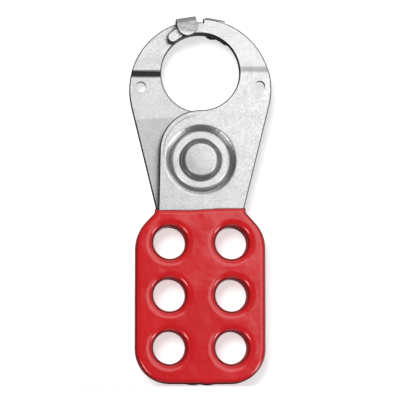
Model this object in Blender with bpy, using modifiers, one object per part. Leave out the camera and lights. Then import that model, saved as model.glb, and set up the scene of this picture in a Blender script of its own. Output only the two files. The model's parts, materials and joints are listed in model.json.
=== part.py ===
"""Lockout hasp: two alike steel legs, one turned to face the other, held by one big rivet.

Each leg is a flat stamping with half of a 25 mm jaw at its top and a handle plate with six
padlock holes, dipped in red vinyl, at its bottom. Opening the handles opens the jaw.

The hasp stands upright: its plates lie in the XZ plane, its jaw points up (+Z) and its front
faces -Y. The origin is under the rivet, in the middle of the handles' bottom edges.

A leg and what rides with it are drawn in plate space, whose origin is the middle of the rivet:
x to the right, y up the plate, and z outwards from the plane where the two legs meet. The front
leg turns this space upright, and the rear leg also turns it half round.
"""

import bmesh
import bpy
from math import cos, pi, radians, sin, tanh
from mathutils import Matrix, Vector

MM = 0.001

# Jaw
OPENING_RADIUS = 12.7 * MM  # a one inch jaw
OPENING_HEIGHT = 29.0 * MM  # its centre above the pivot
JAW_OUTER_RADIUS = 23.1 * MM
JAW_OUTER_HEIGHT = 23.5 * MM
TAPER_ANGLE = radians(-14)  # where the jaw's outer arc turns into the neck's straight edge

# Finger: the thin end of a jaw, which slides under the other leg's tab
FINGER_RADIUS = 16.4 * MM  # its outer edge, about the opening's centre
FINGER_ROOT_ANGLE = radians(87)
FINGER_STEP_ANGLE = radians(0.7)  # the little step down to the finger is this far from upright
FINGER_END_ANGLE = radians(128.3)

# Tab: a strip folded over the other leg's finger
TAB_ANGLE = radians(90 - 9.5)
TAB_SHIFT = 1.9 * MM  # its middle lies this far from the opening's radius, away from the finger step
TAB_WIDTH = 6.4 * MM
TAB_THICKNESS = 1.7 * MM
TAB_INNER_RADIUS = 16.6 * MM  # inside of the fold, about the opening's centre
TAB_TIP_RADIUS = 12.3 * MM
TAB_ROOT_RADIUS = 14.5 * MM
TAB_INSET = 0.05 * MM  # how far its root stays inside the jaw's two faces
TAB_SLACK = 0.15 * MM  # between the folded strip and the finger's outer face
FOLD_RADIUS = 1.6 * MM

# Steel plate
STEEL = 2.5 * MM
STEEL_EDGE = 0.35 * MM  # edge rounding
PLATE_INNER = 1.0 * MM  # inner face of the neck and the handle plate
JAW_INNER = 0.1 * MM  # inner face above the jog
JOG_LOW = 28.1 * MM
JOG_HIGH = 30.5 * MM
JOG_LAG = 0.65 * MM  # the bend lies this much higher on the outer face and lower on the inner
JOG_CUTS = 5

# Neck and pivot lobe
LOBE_RADIUS = 13.3 * MM
LOBE_HEIGHT = OPENING_HEIGHT - OPENING_RADIUS - LOBE_RADIUS  # so that it runs into the opening
HANGING_HOLE_RADIUS = 1.75 * MM
HANGING_HOLE = (19.3 * MM, 24.4 * MM)
NECK_CORNER = (13.7 * MM, -17.5 * MM)  # where the neck meets the shoulder

# Handle plate, without its coating
HANDLE_HALF_WIDTH = 20.0 * MM
HANDLE_BOTTOM = -71.3 * MM
HANDLE_CORNER = 10.3 * MM
SHOULDER_RADIUS = 11.0 * MM
SHOULDER_HEIGHT = -28.6 * MM
SHOULDER_END = radians(43)

# Padlock holes
HOLE_COLUMNS = (-10.0 * MM, 10.0 * MM)
HOLE_ROWS = (-26.9 * MM, -43.8 * MM, -60.7 * MM)
STEEL_HOLE_RADIUS = 6.5 * MM
COATED_HOLE_RADIUS = 5.2 * MM
HOLE_RIM = 2.3 * MM  # how far the coating's rim spreads over the face
HOLE_RIM_DEPTH = 1.6 * MM
HOLE_RIM_STEPS = 4

# Vinyl coating
COATING = 1.0 * MM
COATING_EDGE = 1.3 * MM
COATING_EDGE_STEPS = 2
COATING_GAP = 0.1 * MM  # modelling gap between steel and vinyl
COATING_INNER = 0.1 * MM
COATING_OUTER = PLATE_INNER + STEEL + COATING
COATING_TOP = -15.75 * MM
COATING_TOP_HALF_WIDTH = 14.6 * MM
COATING_CORNER = (14.7 * MM, -17.1 * MM)
DIP_STEP = 0.75 * MM  # the dip line lies higher on the right
DIP_STEP_PLACE = 0.15  # where it climbs, as a share of the half width
DIP_STEP_SHARPNESS = 3.0
DIP_LINE_STEPS = 12
DRIP = 0.4 * MM  # a dried drop on the bottom edge
DRIP_PLACE = 2.2 * MM
DRIP_HALF_WIDTH = 3.2 * MM
DRIP_STEPS = 8
PIVOT_HEIGHT = COATING + DRIP - HANDLE_BOTTOM  # the rivet's axis above the handles' lowest points

# Pivot: a round dimple in each plate, a washer in it and one rivet through everything
DIMPLE_DEPTH = 0.9 * MM
DIMPLE_FLOOR_RADIUS = 9.6 * MM
DIMPLE_HEEL = (9.95 * MM, 0.12 * MM)  # radius, and height above the floor
DIMPLE_WALL = (11.0 * MM, 0.22 * MM)  # radius, and depth below the face
DIMPLE_LIP = (11.4 * MM, 0.06 * MM)
DIMPLE_EDGE = (11.8 * MM, 0.01 * MM)  # just above the face, so that the cut runs out softly
BOSS_FLAT_RADIUS = 9.9 * MM
BOSS_HEEL = (10.2 * MM, 0.1 * MM)  # radius, and height above the boss's flat
BOSS_FOOT = (11.4 * MM, 0.05 * MM)  # radius, and how far it stands out of the inner face
RIVET_RADIUS = 4.0 * MM
RIVET_CLEARANCE = 0.06 * MM
BUTTON_RADIUS = 5.3 * MM
BUTTON_EDGE = 0.25 * MM
BUTTON_TOP = 5.5 * MM
BUTTON_CROWN = 0.08 * MM
BUTTON_SKIRT = ((5.7 * MM, 4.2 * MM), (6.25 * MM, 3.4 * MM))  # radius and height, down its side
WASHER_RADIUS = 9.3 * MM
WASHER_RING = 6.8 * MM  # inner edge of its raised ring
WASHER_SLOPE = 0.35 * MM
WASHER_BORE = 4.15 * MM
WASHER_TOP = 3.8 * MM
WASHER_FLOOR = 0.5 * MM
WASHER_EDGE = 0.3 * MM
SEAT_GAP = 0.05 * MM

ROUND_STEPS = 40
HOLE_STEPS = 24
ARC_STEP = radians(6)
SMALL_ARC_STEP = radians(22.5)
SMALL_EDGE_STEPS = 2
SMOOTH_ANGLE = radians(35)
WELD = 0.001 * MM
CUTTER_REACH = 20 * MM  # how far a through cutter goes to each side
CUTTER_MARGIN = 1 * MM  # how far other cutters stand clear of the face they cut


def clear_scene():
    for obj in list(bpy.data.objects):
        bpy.data.objects.remove(obj, do_unlink=True)


def new_collection(name):
    collection = bpy.data.collections.new(name)
    bpy.context.scene.collection.children.link(collection)
    return collection


def material(name, color, metallic, roughness):
    made = bpy.data.materials.new(name)
    made.use_nodes = True
    shader = made.node_tree.nodes["Principled BSDF"]
    shader.inputs["Base Color"].default_value = (*color, 1)
    shader.inputs["Metallic"].default_value = metallic
    shader.inputs["Roughness"].default_value = roughness
    return made


# Outlines and profiles


def arc(centre, radius, start, end, step=ARC_STEP):
    """Points along an arc, both ends included."""
    count = max(2, round(abs(end - start) / step))
    angles = [start + (end - start) * i / count for i in range(count + 1)]
    return [(centre[0] + radius * cos(a), centre[1] + radius * sin(a)) for a in angles]


def elliptic_arc(centre, across, along, start, end, count):
    angles = [start + (end - start) * i / count for i in range(count + 1)]
    return [(centre[0] + across * cos(a), centre[1] + along * sin(a)) for a in angles]


def distinct(points, least=0.01 * MM):
    """The closed outline without points that repeat the one before them."""
    kept = []
    for point in points:
        if not kept or (Vector(point) - Vector(kept[-1])).length > least:
            kept.append(point)
    if (Vector(kept[0]) - Vector(kept[-1])).length < least:
        kept.pop()
    return kept


def handle_outline(grow, corner, drip=()):
    """The handle plate from its left neck corner, down and round to its right one."""
    half_width = HANDLE_HALF_WIDTH + grow
    bottom = HANDLE_BOTTOM - grow
    shoulder = SHOULDER_RADIUS + grow
    shoulder_x = half_width - shoulder
    round_off = HANDLE_CORNER + grow
    round_x = half_width - round_off
    round_y = bottom + round_off
    neck_x, neck_y = corner
    return [
        (-neck_x, neck_y),
        *arc((-shoulder_x, SHOULDER_HEIGHT), shoulder, pi - SHOULDER_END, pi),
        *arc((-round_x, round_y), round_off, pi, 1.5 * pi),
        *drip,
        *arc((round_x, round_y), round_off, 1.5 * pi, 2 * pi),
        *arc((shoulder_x, SHOULDER_HEIGHT), shoulder, 0, SHOULDER_END),
        (neck_x, neck_y),
    ]


def leg_outline():
    """The whole stamping, anticlockwise from the left of its neck."""
    opening = (0, OPENING_HEIGHT)
    jaw = (0, JAW_OUTER_HEIGHT)
    middle = (OPENING_RADIUS + FINGER_RADIUS) / 2
    tip_radius = (FINGER_RADIUS - OPENING_RADIUS) / 2
    end = FINGER_END_ANGLE
    tip = (middle * cos(end), OPENING_HEIGHT + middle * sin(end))
    return distinct(
        [
            *handle_outline(0, NECK_CORNER),
            *arc(jaw, JAW_OUTER_RADIUS, TAPER_ANGLE, FINGER_ROOT_ANGLE + FINGER_STEP_ANGLE),
            *arc(opening, FINGER_RADIUS, FINGER_ROOT_ANGLE, end),
            *arc(tip, tip_radius, end, end + pi, SMALL_ARC_STEP),
            *arc(opening, OPENING_RADIUS, end, -pi / 2),
            *arc((0, LOBE_HEIGHT), LOBE_RADIUS, pi / 2, pi),
        ]
    )


def dip_line():
    """The coating's top edge from right to left: it steps down a little near the middle."""
    points = []
    for i in range(DIP_LINE_STEPS + 1):
        across = 1 - 2 * i / DIP_LINE_STEPS
        step = tanh(DIP_STEP_SHARPNESS * (across - DIP_STEP_PLACE))
        points.append((across * COATING_TOP_HALF_WIDTH, COATING_TOP + DIP_STEP / 2 * step))
    return points


def drip_line():
    """The dried drop on the coating's bottom edge, from left to right."""
    points = []
    for i in range(1, DRIP_STEPS):
        along = 2 * i / DRIP_STEPS - 1
        fall = DRIP * (1 + cos(pi * along)) / 2
        points.append((DRIP_PLACE + DRIP_HALF_WIDTH * along, HANDLE_BOTTOM - COATING - fall))
    return points


def coating_outline():
    return distinct([*handle_outline(COATING, COATING_CORNER, drip_line()), *dip_line()])


# Solids


def to_mesh_object(obj, collection, height=0.0):
    """A curve as an ordinary mesh object, its caps welded, raised along z."""
    evaluated = obj.evaluated_get(bpy.context.evaluated_depsgraph_get())
    mesh = bpy.data.meshes.new_from_object(evaluated)
    shape = bmesh.new()
    shape.from_mesh(mesh)
    bmesh.ops.remove_doubles(shape, verts=shape.verts, dist=WELD)
    bmesh.ops.translate(shape, verts=shape.verts, vec=(0, 0, height))
    bmesh.ops.recalc_face_normals(shape, faces=shape.faces)
    shape.to_mesh(mesh)
    shape.free()
    made = bpy.data.objects.new(obj.name, mesh)
    made.matrix_world = obj.matrix_world
    collection.objects.link(made)
    bpy.data.objects.remove(obj, do_unlink=True)
    return made


def plate(name, outline, low, high, collection, edge=0.0, edge_steps=0, grow=0.0):
    """A flat piece between two heights, its edges rounded, from a closed outline."""
    curve = bpy.data.curves.new(name, "CURVE")
    curve.dimensions = "2D"
    curve.fill_mode = "BOTH"
    curve.extrude = (high - low) / 2 - edge
    curve.offset = grow - edge
    curve.bevel_depth = edge
    curve.bevel_resolution = edge_steps
    spline = curve.splines.new("POLY")
    spline.points.add(len(outline) - 1)
    for point, (x, y) in zip(spline.points, outline):
        point.co = (x, y, 0, 1)
    spline.use_cyclic_u = True
    obj = bpy.data.objects.new(name, curve)
    collection.objects.link(obj)
    bpy.context.view_layer.update()
    return to_mesh_object(obj, collection, (low + high) / 2)


def turned(name, profile, collection, steps=ROUND_STEPS, closed=False):
    """A shape turned round z from (radius, height) points that run down its outer side."""
    mesh = bpy.data.meshes.new(name)
    shape = bmesh.new()
    points = [shape.verts.new((r, 0, z)) for r, z in profile]
    for first, second in zip(points, points[1:]):
        shape.edges.new((first, second))
    if closed:
        shape.edges.new((points[-1], points[0]))
    shape.to_mesh(mesh)
    shape.free()
    obj = bpy.data.objects.new(name, mesh)
    collection.objects.link(obj)
    screw = obj.modifiers.new("turn", "SCREW")
    screw.axis = "Z"
    screw.steps = steps
    screw.render_steps = steps
    screw.use_merge_vertices = True
    screw.merge_threshold = WELD
    screw.use_smooth_shade = True
    return obj


def padlock_holes(kind):
    """A name and a centre for each padlock hole."""
    for row, y in enumerate(HOLE_ROWS, 1):
        for column, x in enumerate(HOLE_COLUMNS, 1):
            yield f"{kind}_{row}_{column}", (x, y)


def make_cutter(obj):
    obj.hide_render = True
    obj.display_type = "WIRE"


def combine(obj, other, operation):
    make_cutter(other)
    boolean = obj.modifiers.new(f"{operation} {other.name}", "BOOLEAN")
    boolean.operation = operation
    boolean.solver = "EXACT"
    boolean.object = other


def finished_mesh(obj, name):
    """The object's shape with its modifiers applied, smooth but for its sharp edges."""
    bpy.context.view_layer.update()
    evaluated = obj.evaluated_get(bpy.context.evaluated_depsgraph_get())
    mesh = bpy.data.meshes.new_from_object(evaluated)
    mesh.name = name
    mesh.materials.clear()
    mesh.shade_smooth()
    mesh.set_sharp_from_angle(angle=SMOOTH_ANGLE)
    make_cutter(obj)
    return mesh


def round_cutter(name, centre, radius, cutters, steps=ROUND_STEPS):
    """A plain cylinder that passes through a leg and its coating."""
    reach = CUTTER_REACH
    profile = [(0, reach), (radius, reach), (radius, -reach), (0, -reach)]
    cutter = turned(name, profile, cutters, steps)
    cutter.location = (*centre, 0)
    return cutter


# Leg


def jog(obj):
    """Steps the upper jaw inwards, so the two jaws meet in one plane."""
    middle = PLATE_INNER + STEEL / 2
    lean = 2 * JOG_LAG / STEEL
    shape = bmesh.new()
    shape.from_mesh(obj.data)
    for i in range(JOG_CUTS + 1):
        height = JOG_LOW + (JOG_HIGH - JOG_LOW) * i / JOG_CUTS
        bmesh.ops.bisect_plane(
            shape,
            geom=[*shape.verts, *shape.edges, *shape.faces],
            plane_co=(0, height, middle),
            plane_no=(0, 1, -lean),
            dist=WELD,
        )
    for vert in shape.verts:
        height = vert.co.y - lean * (vert.co.z - middle)
        along = (height - JOG_LOW) / (JOG_HIGH - JOG_LOW)
        along = min(max(along, 0), 1)
        vert.co.z -= (PLATE_INNER - JAW_INNER) * (1 - cos(pi * along)) / 2
    shape.to_mesh(obj.data)
    shape.free()


def tab(cutters):
    """The folded strip: a U in section, cut to a rounded tongue."""
    half = TAB_WIDTH / 2
    outer = TAB_INNER_RADIUS + TAB_THICKNESS
    top = JAW_INNER + STEEL - TAB_INSET
    inner = JAW_INNER + TAB_INSET
    under = -(JAW_INNER + STEEL + TAB_SLACK)
    back = under - TAB_THICKNESS
    below = TAB_TIP_RADIUS - CUTTER_MARGIN
    section = [
        (TAB_ROOT_RADIUS, inner),
        (TAB_INNER_RADIUS, inner),
        (TAB_INNER_RADIUS, under),
        (below, under),
        (below, back),
        *arc((outer - FOLD_RADIUS, back + FOLD_RADIUS), FOLD_RADIUS, -pi / 2, 0, SMALL_ARC_STEP),
        *arc((outer - FOLD_RADIUS, top - FOLD_RADIUS), FOLD_RADIUS, 0, pi / 2, SMALL_ARC_STEP),
        (TAB_ROOT_RADIUS, top),
    ]
    strip = plate("tab_strip", section, -TAB_WIDTH, TAB_WIDTH, cutters)
    strip.data.transform(Matrix.Rotation(pi / 2, 4, "X"))
    tongue_outline = [
        *arc((TAB_TIP_RADIUS + half, 0), half, pi / 2, 1.5 * pi, SMALL_ARC_STEP),
        (outer + half, -half),
        (outer + half, half),
    ]
    tongue = plate("tab_tongue", tongue_outline, -CUTTER_REACH, CUTTER_REACH, cutters)
    centred = Matrix.Translation((0, OPENING_HEIGHT, 0)) @ Matrix.Rotation(TAB_ANGLE, 4, "Z")
    for piece in (strip, tongue):
        piece.matrix_world = centred @ Matrix.Translation((0, -TAB_SHIFT, 0))
    combine(strip, tongue, "INTERSECT")
    return strip


def dimple_boss(cutters):
    """The dimple's bulge on the inner face."""
    root = PLATE_INNER + STEEL / 2
    flat = PLATE_INNER - DIMPLE_DEPTH
    foot_radius, foot = BOSS_FOOT
    heel_radius, heel = BOSS_HEEL
    profile = [
        (0, root),
        (foot_radius, root),
        (foot_radius, PLATE_INNER - foot),
        (heel_radius, flat + heel),
        (BOSS_FLAT_RADIUS, flat),
        (0, flat),
    ]
    return turned("dimple_boss", profile, cutters)


def dimple_recess(cutters):
    """The dimple's hollow in the outer face, with a soft shoulder."""
    face = PLATE_INNER + STEEL
    floor = face - DIMPLE_DEPTH
    above = face + CUTTER_MARGIN
    edge_radius, edge = DIMPLE_EDGE
    lip_radius, lip = DIMPLE_LIP
    wall_radius, wall = DIMPLE_WALL
    heel_radius, heel = DIMPLE_HEEL
    profile = [
        (0, above),
        (edge_radius, above),
        (edge_radius, face + edge),
        (lip_radius, face - lip),
        (wall_radius, face - wall),
        (heel_radius, floor + heel),
        (DIMPLE_FLOOR_RADIUS, floor),
        (0, floor),
    ]
    return turned("dimple_recess", profile, cutters)


def leg_mesh(cutters):
    blank = plate("leg_blank", leg_outline(), PLATE_INNER, PLATE_INNER + STEEL, cutters, STEEL_EDGE)
    jog(blank)
    for name, centre in padlock_holes("steel_hole"):
        combine(blank, round_cutter(name, centre, STEEL_HOLE_RADIUS, cutters, HOLE_STEPS), "DIFFERENCE")
    hanging = round_cutter("hanging_hole", HANGING_HOLE, HANGING_HOLE_RADIUS, cutters, HOLE_STEPS)
    combine(blank, hanging, "DIFFERENCE")
    combine(blank, tab(cutters), "UNION")
    combine(blank, dimple_boss(cutters), "UNION")
    combine(blank, dimple_recess(cutters), "DIFFERENCE")
    bore = round_cutter("pivot_bore", (0, 0), RIVET_RADIUS + RIVET_CLEARANCE, cutters)
    combine(blank, bore, "DIFFERENCE")
    return finished_mesh(blank, "leg")


# Coating


def padlock_cutter(name, centre, cutters):
    """A padlock hole through the coating, its rims rounded on both faces."""
    spread = COATED_HOLE_RADIUS + HOLE_RIM
    top = COATING_OUTER - HOLE_RIM_DEPTH
    bottom = COATING_INNER + HOLE_RIM_DEPTH
    upper = elliptic_arc((spread, top), HOLE_RIM, HOLE_RIM_DEPTH, pi / 2, pi, HOLE_RIM_STEPS)
    lower = elliptic_arc((spread, bottom), HOLE_RIM, HOLE_RIM_DEPTH, pi, 1.5 * pi, HOLE_RIM_STEPS)
    above = COATING_OUTER + CUTTER_MARGIN
    below = COATING_INNER - CUTTER_MARGIN
    profile = [(0, above), (spread, above), *upper, *lower, (spread, below), (0, below)]
    cutter = turned(name, profile, cutters, HOLE_STEPS)
    cutter.location = (*centre, 0)
    return cutter


def steel_core(cutters):
    """The space that the steel leg takes inside the coating, with its padlock holes."""
    low = PLATE_INNER - COATING_GAP
    high = PLATE_INNER + STEEL + COATING_GAP
    core = plate("steel_core", leg_outline(), low, high, cutters, grow=COATING_GAP)
    for name, centre in padlock_holes("core_hole"):
        radius = STEEL_HOLE_RADIUS - COATING_GAP
        combine(core, round_cutter(name, centre, radius, cutters, HOLE_STEPS), "DIFFERENCE")
    return core


def coating_mesh(cutters):
    outline = coating_outline()
    edge = (COATING_EDGE, COATING_EDGE_STEPS)
    body = plate("coating_body", outline, COATING_INNER, COATING_OUTER, cutters, *edge)
    for name, centre in padlock_holes("padlock_hole"):
        combine(body, padlock_cutter(name, centre, cutters), "DIFFERENCE")
    combine(body, steel_core(cutters), "DIFFERENCE")
    return finished_mesh(body, "coating")


# Pivot


def washer_mesh(cutters):
    """A flat ring with a sunk middle, which lies in a leg's dimple."""
    under = PLATE_INNER + STEEL - DIMPLE_DEPTH + SEAT_GAP
    floor = under + WASHER_FLOOR
    edge = WASHER_EDGE
    corner = (WASHER_RADIUS - edge, WASHER_TOP - edge)
    profile = [
        (WASHER_BORE, floor),
        (WASHER_RING - WASHER_SLOPE, floor),
        (WASHER_RING, WASHER_TOP - WASHER_SLOPE / 2),
        (WASHER_RING + WASHER_SLOPE, WASHER_TOP),
        *elliptic_arc(corner, edge, edge, pi / 2, 0, SMALL_EDGE_STEPS),
        (WASHER_RADIUS, under),
        (WASHER_BORE, under),
    ]
    return finished_mesh(turned("washer_blank", profile, cutters, closed=True), "washer")


def rivet_mesh(cutters):
    """The shank with a flat-topped button, flared at its foot, at each end."""
    under = PLATE_INNER + STEEL - DIMPLE_DEPTH + 2 * SEAT_GAP + WASHER_FLOOR
    rim = BUTTON_TOP - BUTTON_CROWN
    corner = (BUTTON_RADIUS - BUTTON_EDGE, rim - BUTTON_EDGE)
    head = [
        (0, BUTTON_TOP),
        (BUTTON_RADIUS / 2, BUTTON_TOP - BUTTON_CROWN / 4),
        *elliptic_arc(corner, BUTTON_EDGE, BUTTON_EDGE, pi / 2, 0, SMALL_EDGE_STEPS),
        *BUTTON_SKIRT,
        (BUTTON_SKIRT[-1][0], under),
        (RIVET_RADIUS, under),
    ]
    tail = [(r, -z) for r, z in reversed(head)]
    return finished_mesh(turned("rivet_blank", head + tail, cutters), "rivet")


# Assembly


def turning_point(name, turn, parts):
    """An empty on the rivet's axis that turns plate space upright, front or rear."""
    empty = bpy.data.objects.new(name, None)
    empty.location = (0, 0, PIVOT_HEIGHT)
    empty.rotation_euler = (pi / 2, 0, turn)
    parts.objects.link(empty)
    return empty


def place(name, mesh, finish, parent, parts):
    obj = bpy.data.objects.new(name, mesh)
    obj.parent = parent
    if not mesh.materials:
        mesh.materials.append(finish)
    parts.objects.link(obj)


def main():
    clear_scene()
    parts = new_collection("lockout_hasp")
    cutters = new_collection("cutters")
    steel = material("zinc_plated_steel", (0.72, 0.73, 0.73), 1.0, 0.34)
    vinyl = material("red_vinyl", (0.62, 0.016, 0.022), 0.0, 0.22)
    leg = leg_mesh(cutters)
    coating = coating_mesh(cutters)
    washer = washer_mesh(cutters)
    rivet = rivet_mesh(cutters)
    for side, turn in (("front", 0), ("rear", pi)):
        hinge = turning_point(f"{side}_leg_hinge", turn, parts)
        place(f"{side}_leg", leg, steel, hinge, parts)
        place(f"{side}_handle_coating", coating, vinyl, hinge, parts)
        fixed = turning_point(f"{side}_washer_seat", turn, parts)
        place(f"{side}_pivot_washer", washer, steel, fixed, parts)
    place("pivot_rivet", rivet, steel, turning_point("rivet_axis", 0, parts), parts)


main()
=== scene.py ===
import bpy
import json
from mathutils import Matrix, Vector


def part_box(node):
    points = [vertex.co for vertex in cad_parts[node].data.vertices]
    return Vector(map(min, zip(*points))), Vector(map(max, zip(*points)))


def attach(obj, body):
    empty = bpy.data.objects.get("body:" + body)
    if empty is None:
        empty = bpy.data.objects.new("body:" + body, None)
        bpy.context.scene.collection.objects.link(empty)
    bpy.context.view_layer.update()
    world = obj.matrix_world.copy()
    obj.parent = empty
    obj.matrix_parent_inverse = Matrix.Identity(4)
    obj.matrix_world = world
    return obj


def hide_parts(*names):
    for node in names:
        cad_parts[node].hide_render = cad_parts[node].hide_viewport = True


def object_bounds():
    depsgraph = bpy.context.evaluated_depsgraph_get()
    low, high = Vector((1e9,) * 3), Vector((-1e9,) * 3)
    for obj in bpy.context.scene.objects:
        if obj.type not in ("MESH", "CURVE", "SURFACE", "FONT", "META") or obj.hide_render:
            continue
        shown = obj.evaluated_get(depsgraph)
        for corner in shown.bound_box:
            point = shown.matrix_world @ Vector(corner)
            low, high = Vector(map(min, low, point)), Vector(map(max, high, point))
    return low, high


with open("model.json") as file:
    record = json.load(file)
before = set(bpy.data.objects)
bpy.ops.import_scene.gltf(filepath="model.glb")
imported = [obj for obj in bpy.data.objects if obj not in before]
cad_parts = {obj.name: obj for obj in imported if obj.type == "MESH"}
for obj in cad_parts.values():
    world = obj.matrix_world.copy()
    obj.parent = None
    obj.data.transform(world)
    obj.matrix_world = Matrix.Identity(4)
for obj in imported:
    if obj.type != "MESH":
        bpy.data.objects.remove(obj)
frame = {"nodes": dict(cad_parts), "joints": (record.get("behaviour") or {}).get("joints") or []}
cad_box = [list(corner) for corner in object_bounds()]

import json
from math import cos, radians, sin

import bmesh
import bpy
from mathutils import Vector

MM = 0.001
BLACK = (0, 0, 0, 1)
WHITE = (1, 1, 1, 1)

# Places, from the frame

PIVOT = Vector(frame["joints"][0]["pos_m"])
FRONT_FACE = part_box("front_handle_coating")[0].y
MIDDLE = (Vector(cad_box[0]) + Vector(cad_box[1])) / 2

# Marks and painted shade on the legs: heights are above the pivot, and depths from the plane where the legs
# meet

INNER_FACE = 1.0 * MM
FOLD_FACE = 2.7 * MM  # only the folded tab and the neck's outer face lie beyond this depth
OUTER_FACE = 3.5 * MM
COINED_CENTRE = 2.6 * MM  # the coined line runs round this height
COINED_RADIUS = 12.0 * MM
COINED_EDGES = (0.08 * MM, 0.3 * MM)  # its full and its faded half width
COINED_LEFT = (-1 * MM, 4 * MM)  # it fades in between these distances to the left of the pivot
COINED_UP = (-6 * MM, 1 * MM)  # and between these heights above its centre
COINED_DARKNESS = 0.35
CREASE_HEIGHT = 15.0 * MM
CREASE_HALF_WIDTH = 0.3 * MM
CREASE_SLOPE = 0.07
# painted shade on the neck's inner face below the crease
NECK_DARKNESS = 0.17
TAB_SHADE_FROM = 41.5 * MM  # painted shade on the folded tab above this height
TAB_FADE = 0.8 * MM
TAB_DARKNESS = (0.3, 0.45)
PIVOT_FIELD = (13 * MM, 15 * MM)  # slopes nearer the pivot than this get less painted shade
SLOPE_DARKNESS = (0.35, 0.9)  # painted shade inside and outside that field

# Steel

ZINC_LIGHT = (0.91, 0.91, 0.905, 1)
ZINC_DARK = (0.72, 0.72, 0.715, 1)
SHADED_WALL_STEEL = (0.40, 0.40, 0.40, 1)  # painted shade on the sheet's cut sides
SHADED_EDGE_STEEL = (0.13, 0.13, 0.13, 1)  # painted shade on the broken edge between a side and a face
# painted shade on pressed slopes that look down or to the left
SHADED_SLOPE_STEEL = (0.05, 0.05, 0.05, 1)
STEEL_SHADE_REACH = 2.5 * MM  # how near another surface must be to paint shade on the steel
SMOOTH_ANGLE = radians(50)  # a steel edge sharper than this stays sharp

# Vinyl

VINYL_DEEP = (0.63, 0.008, 0.012, 1)
VINYL_LIGHT = (0.68, 0.011, 0.016, 1)
# painted shade on the rounded edges
VINYL_EDGE_SHADE = (0.24, 0.004, 0.006, 1)
# painted shade deep in crevices
VINYL_CREVICE_SHADE = (0.05, 0.001, 0.002, 1)
SKIN_CELL = 0.3 * MM
SKIN_SMOOTHING = 6
PLATE_SWELL = 0.12 * MM
FILL_BELOW_DIP = 1.2 * MM
WAVE_SIZE = 7 * MM
WAVE_HEIGHT = 0.1 * MM

# Stage

CAMERA_DISTANCE = 0.60
CAMERA_AZIMUTH = radians(-4)
CAMERA_ELEVATION = radians(-5.5)
FRAME_HEIGHT = 130 * MM
LENS_SENSOR = 36.0
LIGHT_DISTANCE = 1.2
PAPER_HALF = 1.2
FLOOR_GAP = 0.2 * MM


# Node helpers


class Nodes:
    """A small hand for building a material's or a world's nodes."""

    def __init__(self, tree):
        self.tree = tree
        tree.nodes.clear()

    def add(self, kind, inputs=None, **settings):
        node = self.tree.nodes.new(kind)
        for name, value in settings.items():
            setattr(node, name, value)
        for name, value in (inputs or {}).items():
            self.put(node.inputs[name], value)
        return node

    def put(self, socket, value):
        if isinstance(value, bpy.types.NodeSocket):
            self.tree.links.new(value, socket)
        else:
            socket.default_value = value

    def math(self, operation, a, b=0.0):
        node = self.add("ShaderNodeMath", operation=operation)
        self.put(node.inputs[0], a)
        self.put(node.inputs[1], b)
        return node.outputs[0]

    def sum(self, first, *others):
        for other in others:
            first = self.math("ADD", first, other)
        return first

    def product(self, first, *others):
        for other in others:
            first = self.math("MULTIPLY", first, other)
        return first

    def fade(self, value, start, end, low=0.0, high=1.0):
        """low before start and high after end, with a smooth change between."""
        limits = {"Value": value, "From Min": start, "From Max": end, "To Min": low, "To Max": high}
        node = self.add("ShaderNodeMapRange", limits, interpolation_type="SMOOTHSTEP")
        return node.outputs["Result"]

    def mix(self, factor, a, b):
        node = self.add("ShaderNodeMix", {"Factor": factor}, data_type="RGBA")
        self.put(node.inputs[6], a)
        self.put(node.inputs[7], b)
        return node.outputs[2]

    def choose(self, factor, a, b):
        """The number a where the factor is 0, and b where it is 1."""
        node = self.add("ShaderNodeMix", data_type="FLOAT")
        self.put(node.inputs[0], factor)
        self.put(node.inputs[2], a)
        self.put(node.inputs[3], b)
        return node.outputs[0]

    def axes(self, vector):
        node = self.add("ShaderNodeSeparateXYZ")
        self.put(node.inputs[0], vector)
        return node.outputs

    def noise(self, vector, scale, detail, roughness):
        inputs = {"Vector": vector, "Scale": scale, "Detail": detail, "Roughness": roughness}
        return self.add("ShaderNodeTexNoise", inputs).outputs["Fac"]

    def place(self):
        return self.add("ShaderNodeTexCoord").outputs["Object"]

    def normal(self, kind="Normal"):
        return self.axes(self.add("ShaderNodeNewGeometry").outputs[kind])

    def crevice_shade(self, distance, floor):
        """Painted shade: 1 in the open and floor deep in a joint, a factor that darkens colour where shade
        falls.
        """
        node = self.add("ShaderNodeAmbientOcclusion", {"Distance": distance}, samples=8)
        return self.fade(node.outputs["AO"], 0.25, 0.88, floor, 1.0)

    def finish(self, kind, shader):
        """Leads a shader to a material's or a world's output."""
        self.put(self.add(kind).inputs["Surface"], shader)


def new_material(name):
    material = bpy.data.materials.new(name)
    material.use_nodes = True
    return material, Nodes(material.node_tree)


# Materials


def coined_line(nodes, across, up, depth):
    """1 on the line pressed inside the lobe's upper left edge, on a leg's outer face."""
    lobe_up = nodes.math("SUBTRACT", up, COINED_CENTRE)
    square = nodes.sum(nodes.math("POWER", across, 2.0), nodes.math("POWER", lobe_up, 2.0))
    off_line = nodes.math("ABSOLUTE", nodes.math("SUBTRACT", nodes.math("SQRT", square), COINED_RADIUS))
    return nodes.product(
        nodes.fade(off_line, *COINED_EDGES, 1.0, 0.0),
        nodes.fade(nodes.product(across, -1.0), *COINED_LEFT),
        nodes.fade(lobe_up, *COINED_UP),
        nodes.fade(depth, OUTER_FACE - 0.3 * MM, OUTER_FACE - 0.1 * MM),
    )


def shaded_neck(nodes, across, up, depth):
    """1 on a leg's inner face below the crease across its neck: painted shade there."""
    inner = nodes.fade(depth, INNER_FACE + 0.1 * MM, INNER_FACE + 0.3 * MM, 1.0, 0.0)
    height = nodes.sum(up, nodes.product(across, CREASE_SLOPE))
    low, high = CREASE_HEIGHT - CREASE_HALF_WIDTH, CREASE_HEIGHT + CREASE_HALF_WIDTH
    return nodes.product(inner, nodes.fade(height, low, high, 1.0, 0.0))


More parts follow.
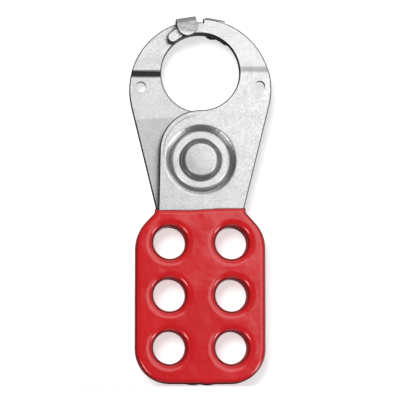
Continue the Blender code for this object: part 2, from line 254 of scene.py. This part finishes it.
def shaded_tab(nodes, place, up, depth):
    """How dark the folded tab is, in upright streaks: painted shade standing for the fold's dark
    reflection.
    """
    folded = nodes.product(
        nodes.fade(depth, FOLD_FACE, FOLD_FACE + 0.05 * MM),
        nodes.fade(up, TAB_SHADE_FROM, TAB_SHADE_FROM + TAB_FADE),
    )
    stretched = nodes.add("ShaderNodeMapping", {"Vector": place, "Scale": (0.25, 0.25, 1.0)})
    grain = nodes.noise(stretched.outputs["Vector"], 1500, 2.0, 0.5)
    return nodes.product(folded, nodes.fade(grain, 0.35, 0.65, *TAB_DARKNESS))


def press_marks_and_shade(nodes, place):
    """How light a leg is: 1, and less on its coined line, and with painted shade on its neck's inner face
    and its tab.
    """
    axes = nodes.axes(place)
    facing = nodes.math("SIGN", axes["Y"])
    across = nodes.product(axes["X"], facing, -1.0)
    depth = nodes.math("ABSOLUTE", axes["Y"])
    up = nodes.math("SUBTRACT", axes["Z"], PIVOT.z)
    darkening = nodes.sum(
        nodes.product(shaded_neck(nodes, across, up, depth), NECK_DARKNESS),
        shaded_tab(nodes, place, up, depth),
        nodes.product(coined_line(nodes, across, up, depth), COINED_DARKNESS),
    )
    return nodes.math("SUBTRACT", 1.0, darkening)


def slope_shade(nodes, place):
    """How much painted shade a pressed slope gets: only those that look down or to the left, and less round
    the pivot.
    """
    normal = nodes.normal()
    facing = nodes.math("SIGN", normal["Y"])
    turned = nodes.math("SUBTRACT", nodes.product(normal["X"], facing), normal["Z"])
    from_pivot = nodes.add("ShaderNodeVectorMath", operation="DISTANCE")
    nodes.put(from_pivot.inputs[0], place)
    nodes.put(from_pivot.inputs[1], PIVOT)
    level = nodes.fade(from_pivot.outputs["Value"], *PIVOT_FIELD, *SLOPE_DARKNESS)
    return nodes.product(nodes.fade(turned, 0.08, 0.33), level)


def steel_material(name, shine=1.0, shaded_edges_and_marks=False, shaded_slopes=False):
    """Bright zinc plate: a fine mottle in colour, roughness and height, and painted shade in joints.

    A stamping also has painted shade on its cut edges, and its press marks with painted shade on the neck
    and tab; the last flag says whether pressed slopes that look down or left get painted shade.
    """
    material, nodes = new_material(name)
    place = nodes.place()
    fine = nodes.noise(place, 1900, 4.0, 0.7)
    broad = nodes.noise(place, 260, 3.0, 0.55)
    mottle = nodes.sum(nodes.product(fine, 0.8), nodes.product(broad, 0.2))
    color = nodes.mix(nodes.fade(mottle, 0.36, 0.64), ZINC_DARK, ZINC_LIGHT)
    # painted shade: the plate darkens towards black near other surfaces
    color = nodes.mix(nodes.product(nodes.crevice_shade(STEEL_SHADE_REACH, 0.15), shine), BLACK, color)
    rough = nodes.fade(mottle, 0.35, 0.65, 0.37, 0.27)
    if shaded_edges_and_marks:
        color = nodes.mix(press_marks_and_shade(nodes, place), BLACK, color)
        # painted shade on the cut sides and broken edges: faces that turn away from front and back
        level = nodes.math("ABSOLUTE", nodes.normal("True Normal")["Y"])
        flat = nodes.fade(level, 0.71, 0.78)
        cut = nodes.mix(nodes.fade(level, 0.2, 0.5), SHADED_WALL_STEEL, SHADED_EDGE_STEEL)
        color = nodes.mix(flat, cut, color)
        rough = nodes.sum(rough, nodes.fade(flat, 0.0, 1.0, 0.15, 0.0))
    if shaded_slopes:
        # painted shade on pressed slopes
        color = nodes.mix(slope_shade(nodes, place), color, SHADED_SLOPE_STEEL)
    bump = nodes.add("ShaderNodeBump", {"Strength": 0.2, "Distance": 0.02 * MM, "Height": fine})
    finish = {"Base Color": color, "Metallic": 1.0, "Roughness": rough, "Normal": bump.outputs["Normal"]}
    shader = nodes.add("ShaderNodeBsdfPrincipled", finish)
    nodes.finish("ShaderNodeOutputMaterial", shader.outputs["BSDF"])
    return material


def vinyl_material():
    """Glossy red dip coating: a slightly wavy skin, with painted shade on its rounded edges and in joints.
    """
    material, nodes = new_material("red_vinyl_coating")
    place = nodes.place()
    cloud = nodes.noise(place, 60, 2.0, 0.5)
    waves = nodes.noise(place, 110, 1.0, 0.4)
    pores = nodes.noise(place, 1400, 2.0, 0.5)
    # painted shade in crevices, which also dims the gloss there
    unshaded = nodes.crevice_shade(2.0 * MM, 0.1)
    level = nodes.math("ABSOLUTE", nodes.normal()["Y"])
    # painted shade on the rounded edges, where the normal turns from the front
    edge_shade = nodes.product(nodes.fade(level, 0.2, 0.55), nodes.fade(level, 0.72, 0.93, 1.0, 0.0))
    color = nodes.mix(nodes.fade(cloud, 0.3, 0.7), VINYL_DEEP, VINYL_LIGHT)
    color = nodes.mix(edge_shade, color, VINYL_EDGE_SHADE)
    color = nodes.mix(unshaded, VINYL_CREVICE_SHADE, color)
    wave = nodes.add("ShaderNodeBump", {"Strength": 0.2, "Distance": 0.25 * MM, "Height": waves})
    pore = nodes.add("ShaderNodeBump", {"Strength": 0.06, "Distance": 0.02 * MM, "Height": pores})
    nodes.put(pore.inputs["Normal"], wave.outputs["Normal"])
    # the painted crevice shade also takes the gloss away in crevices
    finish = {
        "Base Color": color,
        "Roughness": 0.16,
        "IOR": 1.5,
        "Specular IOR Level": nodes.product(unshaded, 0.62),
        "Coat Weight": nodes.product(unshaded, 0.4),
        "Coat Roughness": 0.08,
        "Normal": pore.outputs["Normal"],
    }
    shader = nodes.add("ShaderNodeBsdfPrincipled", finish)
    nodes.finish("ShaderNodeOutputMaterial", shader.outputs["BSDF"])
    return material


def paper_material(name, glow, color):
    """Pale paper that only the camera sees, and only from its front: it never hides or lights the hasp."""
    material, nodes = new_material(name)
    paper = nodes.add("ShaderNodeBsdfDiffuse", {"Color": color})
    light = nodes.add("ShaderNodeEmission", {"Color": WHITE, "Strength": glow})
    both = nodes.add("ShaderNodeAddShader")
    nodes.put(both.inputs[0], paper.outputs[0])
    nodes.put(both.inputs[1], light.outputs[0])
    clear = nodes.add("ShaderNodeBsdfTransparent")
    front = nodes.math("SUBTRACT", 1.0, nodes.add("ShaderNodeNewGeometry").outputs["Backfacing"])
    seen = nodes.product(front, nodes.add("ShaderNodeLightPath").outputs["Is Camera Ray"])
    mix = nodes.add("ShaderNodeMixShader")
    nodes.put(mix.inputs[0], seen)
    nodes.put(mix.inputs[1], clear.outputs[0])
    nodes.put(mix.inputs[2], both.outputs[0])
    nodes.finish("ShaderNodeOutputMaterial", mix.outputs[0])
    return material


# Steel parts: the CAD's own solids, with smooth shading and plating


def soften(obj):
    obj.data.shade_smooth()
    obj.data.set_sharp_from_angle(angle=SMOOTH_ANGLE)
    weighted = obj.modifiers.new("weighted normals", "WEIGHTED_NORMAL")
    weighted.keep_sharp = True
    weighted.weight = 100


def finish_steel():
    finishes = {
        "leg": steel_material("zinc_plate", 0.97, shaded_edges_and_marks=True, shaded_slopes=True),
        "washer": steel_material("washer_plate"),
        "rivet": steel_material("rivet_plate", 0.88, shaded_slopes=True),
    }
    for name, obj in frame["nodes"].items():
        kind = name.split("_")[-1]
        if kind in finishes:
            obj.data.materials.clear()
            obj.data.materials.append(finishes[kind])
            soften(obj)


# Coatings: the CAD's solids, filled where the plate runs through and remeshed into one soft skin


def inner_plate(side):
    """The leg's buried part, a little swollen, so that it closes the gap inside the coating."""
    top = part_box(f"{side}_handle_coating")[1].z - FILL_BELOW_DIP
    shape = bmesh.new()
    shape.from_mesh(frame["nodes"][f"{side}_leg"].data)
    everything = [*shape.verts, *shape.edges, *shape.faces]
    plane = {"plane_co": (0, 0, top), "plane_no": (0, 0, 1)}
    cut = bmesh.ops.bisect_plane(shape, geom=everything, clear_outer=True, **plane)
    edges = [item for item in cut["geom_cut"] if isinstance(item, bmesh.types.BMEdge)]
    bmesh.ops.edgeloop_fill(shape, edges=edges)
    bmesh.ops.recalc_face_normals(shape, faces=shape.faces)
    for vert in shape.verts:
        vert.co += vert.normal * PLATE_SWELL
    return shape


def add_skin_modifiers(piece, side):
    """One closed skin, smoothed, with the slow waves of a dip coating."""
    remesh = piece.modifiers.new("remesh", "REMESH")
    remesh.mode = "VOXEL"
    remesh.voxel_size = SKIN_CELL
    smooth = piece.modifiers.new("smooth", "SMOOTH")
    smooth.factor = 0.5
    smooth.iterations = SKIN_SMOOTHING
    waves = bpy.data.textures.new(f"{side}_waves", "CLOUDS")
    waves.noise_scale = WAVE_SIZE
    wave = piece.modifiers.new("waves", "DISPLACE")
    wave.texture = waves
    wave.texture_coords = "LOCAL"
    wave.strength = WAVE_HEIGHT
    wave.mid_level = 0.5


def coating(side, material):
    node = frame["nodes"][f"{side}_handle_coating"]
    shape = inner_plate(side)
    shape.from_mesh(node.data)
    blank = bpy.data.meshes.new(f"{side}_vinyl_blank")
    shape.to_mesh(blank)
    shape.free()
    piece = bpy.data.objects.new(f"{side}_vinyl_skin", blank)
    bpy.context.scene.collection.objects.link(piece)
    add_skin_modifiers(piece, side)
    bpy.context.view_layer.update()
    skin = bpy.data.meshes.new_from_object(piece.evaluated_get(bpy.context.evaluated_depsgraph_get()))
    piece.modifiers.clear()
    piece.data = skin
    for vert in skin.vertices:
        vert.co.z = max(vert.co.z, cad_box[0][2])
    skin.materials.clear()
    skin.materials.append(material)
    skin.shade_smooth()
    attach(piece, f"{side}_leg")
    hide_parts(node.name)


# Stage


def toward(azimuth, elevation):
    """A unit vector from the object: azimuth 0 is the front (-Y), growing to the right."""
    return Vector((sin(azimuth) * cos(elevation), -cos(azimuth) * cos(elevation), sin(elevation)))


CAMERA_PLACE = MIDDLE + CAMERA_DISTANCE * toward(CAMERA_AZIMUTH, CAMERA_ELEVATION)


def aim(obj, target):
    obj.rotation_euler = (target - obj.location).to_track_quat("-Z", "Y").to_euler()


def add_camera():
    data = bpy.data.cameras.new("camera")
    data.sensor_width = LENS_SENSOR
    data.lens = LENS_SENSOR * CAMERA_DISTANCE / FRAME_HEIGHT
    camera = bpy.data.objects.new("camera", data)
    camera.location = CAMERA_PLACE
    aim(camera, MIDDLE)
    bpy.context.scene.collection.objects.link(camera)
    bpy.context.scene.camera = camera


def add_area(name, direction, size, power):
    """A square light that the hasp doesn't mirror: the world holds what it mirrors."""
    data = bpy.data.lights.new(name, "AREA")
    data.shape = "SQUARE"
    data.size = size
    data.energy = power
    light = bpy.data.objects.new(name, data)
    light.location = MIDDLE + LIGHT_DISTANCE * direction
    aim(light, MIDDLE)
    light.visible_camera = False
    light.visible_glossy = False
    bpy.context.scene.collection.objects.link(light)


def add_sheet(name, corners, glow, color):
    """A flat sheet whose front is the side its corners run anticlockwise on."""
    mesh = bpy.data.meshes.new(name)
    shape = bmesh.new()
    shape.faces.new([shape.verts.new(corner) for corner in corners])
    shape.to_mesh(mesh)
    shape.free()
    sheet = bpy.data.objects.new(name, mesh)
    mesh.materials.append(paper_material(f"{name}_paper", glow, color))
    bpy.context.scene.collection.objects.link(sheet)


def add_stage():
    """A wall just beyond the reach of the hasp's crevice shading, and a floor under it."""
    wall = cad_box[1][1] + STEEL_SHADE_REACH + 0.1 * MM
    low, high = -PAPER_HALF, PAPER_HALF
    square = [(low, low), (high, low), (high, high), (low, high)]
    add_sheet("backdrop", [(x, wall, z) for x, z in square], 0.6, (0.6, 0.6, 0.6, 1))
    add_sheet("floor", [(x, y, -FLOOR_GAP) for x, y in square], 0.72, (0.45, 0.45, 0.45, 1))


# World


def mirrored(across, height):
    """What the camera sees reflected in the front face, at a place on it measured from the pivot."""
    point = Vector((across, FRONT_FACE, PIVOT.z + height))
    ray = (point - CAMERA_PLACE).normalized()
    return Vector((ray.x, -ray.y, ray.z))


def glint(tilt, around):
    """Where a light must be for the camera to see it in a face tilted from the front, towards an angle."""
    normal = Vector((sin(tilt) * cos(around), -cos(tilt), sin(tilt) * sin(around)))
    view = toward(CAMERA_AZIMUTH, CAMERA_ELEVATION)
    return 2 * normal.dot(view) * normal - view


RIM_TILT = radians(21)
SOFTBOX = (toward(radians(10), radians(9)), 15, 27, 1.66)  # centre, full and faded reach in degrees, level
REFLECTED = (
    (glint(RIM_TILT, radians(319)), 5, 10, 6.5),  # spots for the rims' and the corners' highlights
    (glint(RIM_TILT, radians(222)), 5, 10, 6.5),
    (glint(RIM_TILT, radians(42)), 8, 18, 0.9),  # a soft gleam along the lower left rims
    (Vector((1.0, 0.0, 0.0)), 25, 55, 0.25),  # fills for the right side, the back, the top and below
    (Vector((0.68, 0.68, -0.26)), 22, 45, 0.85),
    (Vector((-0.5, 0.4, 0.8)), 20, 50, 0.3),
    (Vector((0.1, -0.35, 0.95)), 12, 38, 0.55),
    (Vector((0.0, -0.2, -1.0)), 10, 32, 0.6),
)
STUDIO_LEVEL = 0.11
SOFT_FROM = Vector((0.4, -0.3, 0.7))


def add_world():
    """White to the camera, soft light on rough surfaces, and a dark studio with lights in reflections.

    The softbox ends in a straight edge, which the front coating mirrors from its middle to its right side.
    """
    world = bpy.data.worlds.new("studio")
    world.use_nodes = True
    world.cycles.sampling_method = "NONE"
    bpy.context.scene.world = world
    nodes = Nodes(world.node_tree)
    direction = nodes.add("ShaderNodeTexCoord").outputs["Generated"]

    def along(vector):
        dot = nodes.add("ShaderNodeVectorMath", operation="DOT_PRODUCT")
        nodes.put(dot.inputs[0], direction)
        nodes.put(dot.inputs[1], vector.normalized())
        return dot.outputs["Value"]

    def patch(center, inner, outer, level):
        return nodes.fade(along(center), cos(radians(outer)), cos(radians(inner)), 0.0, level)

    edge = mirrored(0, -20 * MM).cross(mirrored(21 * MM, -46 * MM))
    if edge.z < 0:
        edge = -edge
    softbox = nodes.product(nodes.fade(along(edge), -0.015, 0.015), patch(*SOFTBOX))
    studio = nodes.sum(softbox, STUDIO_LEVEL, *[patch(*light) for light in REFLECTED])
    soft = nodes.fade(along(SOFT_FROM), -0.6, 0.9, 0.14, 0.38)
    path = nodes.add("ShaderNodeLightPath").outputs
    strength = nodes.choose(path["Is Diffuse Ray"], studio, soft)
    strength = nodes.choose(path["Is Camera Ray"], strength, 1.0)
    background = nodes.add("ShaderNodeBackground", {"Color": WHITE, "Strength": strength})
    nodes.finish("ShaderNodeOutputWorld", background.outputs[0])


finish_steel()
vinyl = vinyl_material()
for side in ("front", "rear"):
    coating(side, vinyl)
add_world()
add_stage()
add_camera()
add_area("key", toward(radians(-11), radians(11)), 0.3, 10)
add_area("back", toward(radians(160), radians(25)), 0.4, 9)
bpy.context.scene.view_settings.view_transform = "Standard"
